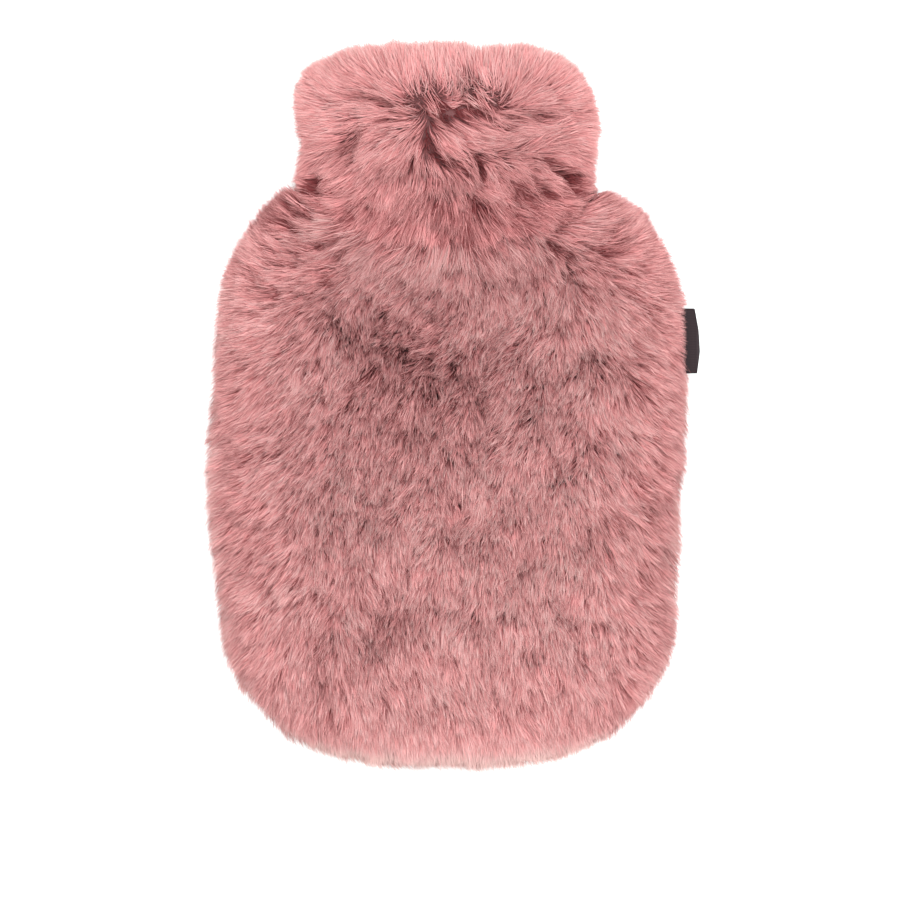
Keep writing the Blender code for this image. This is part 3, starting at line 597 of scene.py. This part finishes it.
def body_pile(places, out, roots, draw, partings=(), longer=0.0, beyond=0.0):
    """The pile of either panel: laid down as it is brushed, tufted, parted and trimmed."""
    rim = rim_share(places)
    upright = spots(places, FRONT_UPRIGHT)
    way, onward, sure = flow(places, out, FRONT_STROKES, 3)
    below_collar = (85 + 0.0035 * (places[:, 0] / MM) ** 2) * MM - places[:, 1]
    at_collar = smooth_step(below_collar, -12 * MM, -4 * MM) * (out[:, 2] > 0)
    at_collar *= 1 - smooth_step(below_collar, 2 * MM, 28 * MM)
    swell = 0.06 * ripple(places, 16 * MM, 9) + 0.06 * ripple(places, 6 * MM, 10)
    flat = smooth_step(places[:, 1], 35 * MM, 75 * MM) * (1 - rim)
    slope = np.linalg.norm(out[:, :2], axis=1)
    side = slope * (1 - 0.5 * rim)
    level = (1 - slope) * (1 - flat)
    lean_root = 0.36 + 0.35 * side + 0.08 * flat - 0.12 * upright + swell
    lean_tip = 0.74 + 0.3 * side + 0.18 * flat - 0.22 * upright + swell
    length = (PILE_LENGTH + longer) * (1 - 0.08 * level) * (1 + 0.05 * ripple(places, 15 * MM, 8))
    length += LONGER_AT_COLLAR * at_collar
    bends, tips = lay(roots, out, way, onward, length, lean_root * sure, lean_tip * sure, draw)
    large = gather(roots, bends, tips, LARGE_TUFT, 0.16, 1.2 * MM, draw)
    small = gather(roots, bends, tips, SMALL_TUFT, 0.66 - 0.48 * rim, 1.3 * MM, draw)
    # The hairs' own random tones, calmer at the rims and along the bottom.
    low = 1 - smooth_step(places[:, 1], -171 * MM, -152 * MM)
    calm = (1 - 0.55 * rim) * (1 - 0.55 * low)
    tone_and_shading = 0.57 + (0.04 * large + 0.13 * small + draw.normal(0, 0.17, len(roots))) * calm
    tone_and_shading = np.minimum(tone_and_shading, 0.85)
    # Painted light and shade: lighter at the rims and the bottom, as painted light coming through the
    # hairs, and darker on the shoulders, down the slopes and where it stands up, as painted shade.
    shoulder = smooth_step(places[:, 1], 50 * MM, 80 * MM)
    shoulder *= smooth_step(np.abs(places[:, 0]), 45 * MM, 75 * MM)
    tone_and_shading -= (0.12 + 0.07 * ripple(places, 24 * MM, 13)) * shoulder
    tone_and_shading += 0.13 * rim**2 + 0.44 * low * (0.3 + 0.7 * rim) - (0.25 - 0.17 * low) * slope
    tone_and_shading += 0.02 * ripple(places, 38 * MM, 12) - 0.12 * upright
    # Painted shade in the partings, where the hairs are also shortened and nudged apart.
    tone_and_shading -= 0.42 * part(roots, bends, tips, partings, draw)
    trim(roots, bends, tips, BODY_TIPS, BODY_MIDDLE, draw, beyond)
    return bends, tips, tone_and_shading


def clear_of_label(tips):
    """Which hairs end clear of the label."""
    at_label = (tips[:, 1] > LABEL_ENDS[0]) & (tips[:, 1] < LABEL_ENDS[1])
    return ~(at_label & (tips[:, 0] > LABEL_X))


def scattered_partings(places, draw, count):
    """Small partings along the brushed way, at random places."""
    chosen = places[draw.choice(len(places), count, replace=False)]
    way = brushed(chosen, np.tile((0.0, 0.0, 1.0), (count, 1)), FRONT_STROKES)[0]
    turn = np.degrees(np.arctan2(way[:, 1], way[:, 0])) + draw.normal(0, 16, count)
    size = draw.uniform(1.0, 3.2, count)
    # How dark each parting is: the strength of its painted shade.
    wide, dark = size * draw.uniform(0.3, 0.6, count), draw.uniform(0.15, 0.45, count)
    return np.stack([chosen[:, 0] / MM, chosen[:, 1] / MM, size, wide, turn, dark], axis=1)


front_cloth = cloth_piece("front_cloth", "front_panel", UNDERFUR_DEPTH)
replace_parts(front_cloth, "front_panel")

draw = np.random.default_rng(21)
places, out, roots = plant("front_panel", FRONT_HAIRS, draw, PILE_DEPTH)
partings = list(FRONT_PARTINGS) + scattered_partings(places[out[:, 2] > 0.6], draw, SMALL_PARTINGS).tolist()
bends, tips, tone_and_shading = body_pile(places, out, roots, draw, partings)
kept = clear_of_label(tips)
order = np.nonzero(kept)[0][np.argsort(places[kept, 1])]
for third, band in zip(("lower", "middle", "upper"), np.array_split(order, 3)):
    pile = (roots[band], bends[band], tips[band], out[band], tone_and_shading[band])
    hair_piece("front_pile_" + third, *pile, HAIR_WIDTH, draw)

# ---- The roll collar ---------------------------------------------------------------------------------
# A band of the same fur sewn to the neck edge of the body, standing up and turned down outwards. Its
# pile spreads from a C-shaped crease on the front, where the roll is squeezed together.
COLLAR_HAIRS = 80000
COLLAR_STROKES = (  # with the front's columns
    (-23, 167, 103), (-16, 167, 100), (-9, 167, 103), (-2, 167, 110), (4, 167, 114), (11, 167, 112),
    (18, 167, 98), (24, 167, 85), (-24, 162, 108), (-17, 162, 103), (-10, 162, 108), (-3, 162, 122),
    (4, 162, 124), (11, 162, 116), (17, 162, 102), (23, 162, 86), (-28, 156, 140), (-23, 156, 112),
    (-15, 155, 298), (-10, 155, 305), (-5, 156, 325), (0, 156, 335), (6, 155, 322), (11, 155, 305),
    (17, 155, 292), (22, 155, 282), (-29, 151, 165), (-24, 151, 160), (-19, 151, 150), (-15, 151, 302),
    (-10, 151, 308), (-5, 151, 318), (0, 151, 330), (6, 151, 322), (11, 151, 312), (16, 151, 300),
    (20, 150, 265), (24, 151, 288), (29, 152, 62), (33, 153, 60), (-29, 146, 172), (-23, 146, 176),
    (-18, 146, 178), (-13, 145, 300), (-9, 146, 308), (-5, 146, 318), (0, 146, 322), (6, 147, 320),
    (11, 147, 315), (15, 146, 300), (19, 145, 250), (24, 146, 300), (28, 144, 45), (32, 147, 38),
    (37, 149, 40), (-30, 141, 185), (-24, 141, 186), (-18, 141, 190), (-14, 141, 200), (-7, 139, 325),
    (-2, 137, 330), (3, 136, 332), (9, 137, 340), (15, 138, 343), (21, 139, 345), (27, 139, 350),
    (33, 141, 10), (-14, 137, 212), (-14, 132, 220), (-15, 128, 228), (-16, 124, 238), (-21, 136, 215),
    (-23, 130, 225), (-24, 124, 235), (-8, 134, 300), (-7, 129, 290), (-8, 126, 285), (-2, 132, 330),
    (3, 130, 335), (9, 132, 338), (16, 133, 340), (23, 133, 343), (-2, 127, 325), (3, 125, 325),
    (9, 127, 335), (16, 128, 345), (23, 127, 350), (-5, 123, 305), (0, 122, 320), (5, 121, 318),
    (12, 122, 320), (18, 121, 300), (-75, 156, 165), (-75, 140, 182), (-76, 126, 200), (-74, 117, 218),
    (-66, 111, 235), (-60, 161, 140), (-50, 153, 174), (-56, 157, 152), (-53, 158, 160), (-44, 156, 160),
    (-35, 152, 160), (-31, 161, 132), (-40, 167, 128), (-50, 172, 118), (-65, 167, 138), (-72, 163, 150),
    (-35, 176, 103), (-60, 146, 180), (-50, 145, 180), (-40, 147, 178), (-55, 149, 176), (-50, 136, 262),
    (-53, 127, 240), (-60, 131, 205), (-65, 138, 188), (-60, 119, 215), (-48, 121, 250), (-55, 119, 228),
    (-40, 140, 196), (-35, 134, 215), (-40, 126, 232), (-31, 127, 235), (-43, 114, 245), (-53, 109, 228),
    (-60, 110, 218), (-32, 140, 195), (-27, 120, 240), (-21, 119, 262), (30, 151, 75), (34, 158, 70),
    (28, 158, 80), (39, 151, 38), (34, 145, 10), (44, 153, 38), (31, 166, 78), (34, 136, 2),
    (29, 127, 354), (39, 129, 0), (2, 120, 322), (10, 119, 315), (16, 120, 300), (-11, 117, 265),
    (-1, 113, 278), (10, 113, 290), (20, 113, 303), (24, 118, 315), (31, 118, 338), (30, 122, 350),
    (39, 123, 356), (39, 116, 330), (34, 110, 316), (44, 115, 325), (44, 151, 30), (54, 156, 35),
    (62, 161, 40), (47, 161, 50), (39, 171, 68), (52, 171, 56), (62, 168, 46), (68, 156, 20),
    (71, 146, 5), (54, 145, 5), (49, 138, 355), (64, 136, 355), (71, 131, 350), (68, 124, 340),
    (64, 119, 330), (54, 126, 350), (47, 127, 352), (49, 120, 325), (56, 115, 325), (67, 114, 312),
    (-23, 173, 98), (-11, 173, 93), (5, 175, 88), (20, 175, 82), (31, 175, 75), (-11, 109, 264),
    (-23, 109, 252), (-35, 109, 245), (5, 107, 275), (17, 105, 298), (26, 105, 306), (34, 102, 312),
    (44, 102, 325), *SHARED_STROKES, (-75, 101, 143), (-56, 103, 210), (-63, 100, 190), (-69, 99, 168),
    (-58, 96, 205), (-65, 96, 185), (-71, 95, 162), (39, 114, 330), (47, 109, 320), (52, 103, 322),
    (55, 100, 345), (68, 103, 20), (68, 96, 12), (62, 97, 0), (54, 95, 348), (47, 95, 340), (39, 96, 330),
)
# The columns are those of the front's table, the partings darkened with painted shade. The deepest are the
# crease and the corners at the shoulders.
COLLAR_PARTINGS = (
    (0, 141, 5, 3.1, 25, 1), (5, 143, 5.6, 3.4, 25, 1), (9, 145, 4.4, 2.5, -15, 1),
    (15, 143, 5.6, 1.8, -12, 1), (19, 147, 3, 1.2, 75, 0.9), (19, 152, 2.5, 0.7, 80, 0.6),
    (-10, 141, 2.5, 1.5, -60, 0.8), (-10, 137, 3.8, 2.5, 80, 1), (-12, 131, 4.4, 1.8, 85, 1),
    (-11, 126, 3.8, 2.8, -50, 1), (-8, 123, 3.8, 2.2, -35, 1), (-3, 119, 3.8, 1.5, -45, 1),
    (-15, 144, 4, 1.5, -35, 0.6), (-20, 118, 3.5, 1.2, 80, 0.7), (16, 116, 5.6, 1.5, -80, 1),
    (16, 123, 3, 1.5, -20, 0.5), (3, 118, 3, 2, -60, 0.6), (7, 116, 3.5, 1.5, -60, 0.6),
    (-34, 149, 4.5, 1.5, -10, 0.6), (-34, 141, 3, 1.5, 15, 0.6), (-29, 145, 4, 1.5, -25, 0.4),
    (27, 149, 3.5, 0.7, 80, 0.6), (28, 143, 2.5, 1.5, 40, 0.5), (-3, 152, 1.2, 1.2, 0, 0.5),
    (-39, 152, 6.1, 1.5, -15, 0.5), (-53, 154, 4.1, 1, -20, 0.4), (-51, 131, 9.1, 4.1, 85, 0.4),
    (52, 120, 5.1, 2.5, -45, 0.5), (47, 143, 5.1, 3.5, 0, 0.4), (27, 156, 3, 1, 80, 0.5),
    (20, 91, 8.1, 2.5, -50, 0.7), (15, 95, 4.1, 2.5, -30, 0.7), (38, 103, 6.1, 4.1, -40, 0.4),
    (49, 105, 6.1, 2.5, -50, 0.5), (65, 112, 5, 4, -10, 1), (60, 114, 4, 2, -10, 0.7),
    (65, 106, 4, 2, -30, 0.8), (-72, 110, 3.5, 3.5, 0, 1), (-77, 106, 4, 2, -50, 0.8),
    (-69, 105, 4, 1.5, -40, 0.7), (-75, 101, 4, 1.5, -40, 0.7),
)
# Along the line that the pile parts from, above the crease, where its locks curl across each other.
COLLAR_TANGLE = (
    (-15, 158, 6, 4, -10, 0.9), (-8, 159, 6, 4.5, 0, 1), (0, 159, 6, 4.5, 0, 1), (7, 160, 6, 4.5, 0, 1),
    (14, 159, 6, 4.5, -15, 1), (20, 156, 5, 4, -50, 0.8), (-18, 152, 5, 3, 80, 0.6),
)
COLLAR_MIDDLE = Vector((-2, 140)) * MM
COLLAR_TIPS = (
    (-79, 113), (-78, 119), (-75, 129), (-78, 139), (-79.5, 150), (-79, 160), (-74, 170), (-53, 180),
    (-36, 182), (-6, 182.5), (15, 179), (35, 183), (51, 184), (64, 171), (71, 160), (74, 150), (76, 139),
    (74, 129), (73, 119), (72, 110), (62, 90), (40, 77), (0, 71), (-40, 77), (-64, 92),
)
COLLAR_DEPTH = 12 * MM  # of the roots and of the underfur
COLLAR_LENGTH = 20 * MM
SHORTER_AT_HEM = 2 * MM
TANGLE = 7 * MM  # how far off a hair of the tangle takes its brushed way from
collar_cloth = cloth_piece("collar_cloth", "roll_collar", COLLAR_DEPTH)
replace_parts(collar_cloth, "roll_collar")


def collar_pile(places, out, roots, draw, partings=(), longer=0.0, beyond=0.0):
    """The collar's pile, lighter round the roll as painted light, darker at its lower edge as painted
    shade, and lying on the body's there.
    """
    tangle = spots(places, COLLAR_TANGLE)
    astray = draw.normal(0, TANGLE, places.shape) * tangle[:, None]
    way, onward, sure = flow(places + astray, out, COLLAR_STROKES, 33)
    facing = np.clip(out[:, 2], 0, 1)
    hem = 1 - smooth_step(places[:, 1], 92 * MM, 118 * MM)
    swell = 0.09 * ripple(places, 16 * MM, 39) + 0.07 * ripple(places, 6 * MM, 40)
    length = COLLAR_LENGTH - SHORTER_AT_HEM * hem + longer
    length *= 1 + 0.05 * ripple(places, 15 * MM, 38)
    ragged = 0.2 + 0.2 * ripple(places, 7 * MM, 36) + draw.uniform(-0.1, 0.1, len(places))
    length *= 1 - hem * np.clip(ragged, 0, 0.6)
    sure = np.maximum(sure, tangle)
    lean_root = 0.30 + 0.26 * facing + 0.25 * hem + 0.25 * tangle + swell
    lean_tip = 0.62 + 0.36 * facing + 0.55 * hem + 0.3 * tangle + swell
    bends, tips = lay(roots, out, way, onward, length, lean_root * sure, lean_tip * sure, draw)
    large = gather(roots, bends, tips, LARGE_TUFT, 0.22 + 0.35 * tangle, 1.4 * MM, draw)
    small = gather(roots, bends, tips, SMALL_TUFT, 0.34 + 0.32 * facing + 0.1 * tangle, 1.3 * MM, draw)
    own = (0.03 + 0.07 * hem) * large + 0.08 * small + draw.normal(0, 0.11, len(roots))
    tone_and_shading = 0.49 + own * (0.4 + 0.6 * facing)
    tone_and_shading = np.minimum(tone_and_shading, 0.8)
    shade = 1 - smooth_step(places[:, 1], 100 * MM, 140 * MM)
    # Painted light and shade: lighter where the roll turns sideways, as painted light coming through the
    # hairs; painted shade low on the front, along the hem and in the partings; lighter in the tangle,
    # taking back some of the roots' painted shade.
    tone_and_shading += 0.25 * (1 - facing) ** 1.5 * (1 - hem) - 0.17 * shade * facing - 0.08 * hem + 0.12 * tangle
    tone_and_shading -= 0.65 * part(roots, bends, tips, partings, draw)
    trim(roots, bends, tips, COLLAR_TIPS, COLLAR_MIDDLE, draw, beyond)
    return bends, tips, tone_and_shading


draw = np.random.default_rng(41)
places, out, roots = plant("roll_collar", COLLAR_HAIRS, draw, COLLAR_DEPTH)
bends, tips, tone_and_shading = collar_pile(places, out, roots, draw, COLLAR_PARTINGS)
around_collar = hair_piece("collar_pile", roots, bends, tips, out, tone_and_shading, HAIR_WIDTH, draw)

# ---- The back panel ----------------------------------------------------------------------------------
# The same fur as the front, sewn to it all round. The cover lies on it, so that its pile is pressed
# flat underneath and stands out round the side seam.
BACK_HAIRS = 70000
BACK_HAIR_WIDTH = 0.8 * MM
BACK_UNDERFUR_DEPTH = 5 * MM
BACK_PILE_DEPTH = 7 * MM
back_cloth = cloth_piece("back_cloth", "back_panel", BACK_UNDERFUR_DEPTH)
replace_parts(back_cloth, "back_panel")


def fewer_underneath(places, normals):
    return np.where(normals[:, 2] < -0.9, 0.5, 1.2)


draw = np.random.default_rng(61)
places, out, roots = plant("back_panel", BACK_HAIRS, draw, BACK_PILE_DEPTH, fewer_underneath)
bends, tips, tone_and_shading = body_pile(places, out, roots, draw)
kept = clear_of_label(tips)
pile = (roots[kept], bends[kept], tips[kept], out[kept], tone_and_shading[kept])
back_pile = hair_piece("back_pile", *pile, BACK_HAIR_WIDTH, draw)

# ---- The pile at the rims ----------------------------------------------------------------------------
# No cut piece: the longest and finest hairs of the same pile, which stand out past the seam,
# the fold of the collar and its lower edge, where the light comes through them. Those at the seam
# and the fold are painted lighter still, as painted light.
RIM_HAIRS = 34000
CREST_HAIRS = 9000
HEM_HAIRS = 7000
RIM_WIDTH = 0.32 * MM
RIM_BEYOND = 1.7 * MM
RIM_LONGER = 3 * MM
# How much lighter the hairs at the seam and the fold are painted: painted light.
RIM_PAINTED_LIGHT = 0.28


def near_seam(places, normals):
    return rim_share(places) ** 3 + 0.001


def near_crest(places, normals):
    return smooth_step(places[:, 1], 160 * MM, 172 * MM)


def near_hem(places, normals):
    return (1 - smooth_step(places[:, 1], 92 * MM, 106 * MM)) * (places[:, 2] > 35 * MM)


draw = np.random.default_rng(81)
halves = []
for node in ("front_panel", "back_panel"):
    halves.append(plant(node, RIM_HAIRS // 2, draw, PILE_DEPTH, near_seam))
places, out, roots = (np.concatenate(both) for both in zip(*halves))
bends, tips, tone_and_shading = body_pile(places, out, roots, draw, longer=RIM_LONGER, beyond=RIM_BEYOND)
kept = clear_of_label(tips)
pile = (roots[kept], bends[kept], tips[kept], out[kept], tone_and_shading[kept] + RIM_PAINTED_LIGHT)
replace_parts(hair_piece("rim_pile", *pile, RIM_WIDTH, draw), "seam_locks")

# The crest's hairs are painted lighter as painted light; the hem's are not.
for name, count, node, painted_light, near in (
    ("crest_pile", CREST_HAIRS, "crest_locks", RIM_PAINTED_LIGHT, near_crest),
    ("hem_pile", HEM_HAIRS, "hem_locks", 0.0, near_hem),
):
    places, out, roots = plant("roll_collar", count, draw, COLLAR_DEPTH, near)
    bends, tips, tone_and_shading = collar_pile(places, out, roots, draw, longer=RIM_LONGER, beyond=RIM_BEYOND)
    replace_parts(hair_piece(name, roots, bends, tips, out, tone_and_shading + painted_light, RIM_WIDTH, draw), node)

# ---- The side label ----------------------------------------------------------------------------------
# A dark woven ribbon with sealed ends, folded double and caught by its two raw ends in the right-hand
# seam. The fold is a little bowed, and both layers are slightly open at it.
LABEL_ROOT = 105 * MM
LABEL_FOLD = (124.8, 126.0, 125.4, 123.6)  # X of the fold from the lower end to the upper, in mm
LABEL_LOW, LABEL_HIGH = 16 * MM, 49 * MM
RIBBON = 0.55 * MM
RIBBON_GAP = 0.5 * MM
LABEL_ROWS = 45
LABEL_STEPS = 14


def ribbon_finish():
    """Fine satin weave in aubergine, a little greyer along the fold."""
    made = bpy.data.materials.new("aubergine_ribbon")
    made.use_nodes = True
    nodes, links = made.node_tree.nodes, made.node_tree.links
    shader = nodes["Principled BSDF"]
    shader.inputs["Roughness"].default_value = 0.6
    shader.inputs["Specular IOR Level"].default_value = 0.08
    place = nodes.new("ShaderNodeTexCoord")
    apart = nodes.new("ShaderNodeSeparateXYZ")
    links.new(place.outputs["Object"], apart.inputs["Vector"])
    threads = nodes.new("ShaderNodeMath")
    threads.operation = "MULTIPLY"
    for socket, (direction, scale) in enumerate((("X", 520), ("Y", 380))):
        wave = nodes.new("ShaderNodeTexWave")
        wave.bands_direction = direction
        wave.inputs["Scale"].default_value = scale
        wave.inputs["Distortion"].default_value = 0.3
        links.new(place.outputs["Object"], wave.inputs["Vector"])
        links.new(wave.outputs["Fac"], threads.inputs[socket])
    ramp = colour_ramp(nodes, ((0.0, (0.011, 0.006, 0.0075)), (1.0, (0.028, 0.017, 0.019))))
    links.new(threads.outputs["Value"], ramp.inputs["Fac"])
    greyer_at_fold = nodes.new("ShaderNodeMapRange")
    greyer_at_fold.inputs["From Min"].default_value = 124.2 * MM
    greyer_at_fold.inputs["From Max"].default_value = 126.2 * MM
    greyer_at_fold.inputs["To Max"].default_value = 0.55
    links.new(apart.outputs["X"], greyer_at_fold.inputs["Value"])
    mix = nodes.new("ShaderNodeMix")
    mix.data_type = "RGBA"
    mix.inputs["B"].default_value = (0.045, 0.035, 0.038, 1)
    links.new(greyer_at_fold.outputs["Result"], mix.inputs["Factor"])
    links.new(ramp.outputs["Color"], mix.inputs["A"])
    links.new(mix.outputs["Result"], shader.inputs["Base Color"])
    bump = nodes.new("ShaderNodeBump")
    bump.inputs["Strength"].default_value = 0.6
    bump.inputs["Distance"].default_value = 0.12 * MM
    links.new(threads.outputs["Value"], bump.inputs["Height"])
    links.new(bump.outputs["Normal"], shader.inputs["Normal"])
    return made


def ribbon_section(fold, inner, outer):
    """The folded ribbon cut across, once round: out along the top, round the fold, and back below."""
    straight = [LABEL_ROOT + (fold - outer - LABEL_ROOT) * i / LABEL_STEPS for i in range(LABEL_STEPS)]
    section = [(x, outer) for x in straight]
    turns = np.linspace(0, math.pi, 9)
    section += [(fold - outer + outer * math.sin(a), outer * math.cos(a)) for a in turns]
    section += [(x, -z) for x, z in reversed(section[:LABEL_STEPS])]
    back = [(x, -inner) for x in straight]
    back += [(fold - outer + inner * math.sin(a), -inner * math.cos(a)) for a in np.linspace(0, math.pi, 7)]
    return section + back + [(x, -z) for x, z in reversed(back[:LABEL_STEPS])]


rows = []
for row in range(LABEL_ROWS):
    share = row / (LABEL_ROWS - 1)
    y = LABEL_LOW + (LABEL_HIGH - LABEL_LOW) * share
    fold = np.interp(share, np.linspace(0, 1, 4), LABEL_FOLD) + 0.25 * math.sin(math.pi * share)
    lift = 0.35 * MM * math.sin(5.2 * share + 0.4)  # at the fold: the ribbon isn't quite flat
    end = min(row, LABEL_ROWS - 1 - row)
    swell = 1.25 if end == 0 else 1.12 if end == 1 else 1.0  # the ends are sealed by heat, and thicker
    half = RIBBON_GAP / 2 + RIBBON * swell
    rows.append([(x, y, SEAM_Z + z + lift * (x - LABEL_ROOT) / (20 * MM))
                 for x, z in ribbon_section(fold * MM, RIBBON_GAP / 2, half)])
around = len(rows[0])
points = [point for row in rows for point in row]
faces = []
for r in range(LABEL_ROWS - 1):
    low, high = r * around, (r + 1) * around
    faces += [(low + i, low + (i + 1) % around, high + (i + 1) % around, high + i) for i in range(around)]
for r, turned in ((0, False), (LABEL_ROWS - 1, True)):
    loop = [r * around + i for i in range(around)]
    faces.append(tuple(loop[::-1] if turned else loop))
label_mesh = bpy.data.meshes.new("side_label_ribbon")
label_mesh.from_pydata(points, [], faces)
label_mesh.shade_smooth()
label_mesh.materials.append(ribbon_finish())
label = bpy.data.objects.new("side_label_ribbon", label_mesh)
bpy.context.scene.collection.objects.link(label)
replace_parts(label, "side_label")
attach(label, "root")
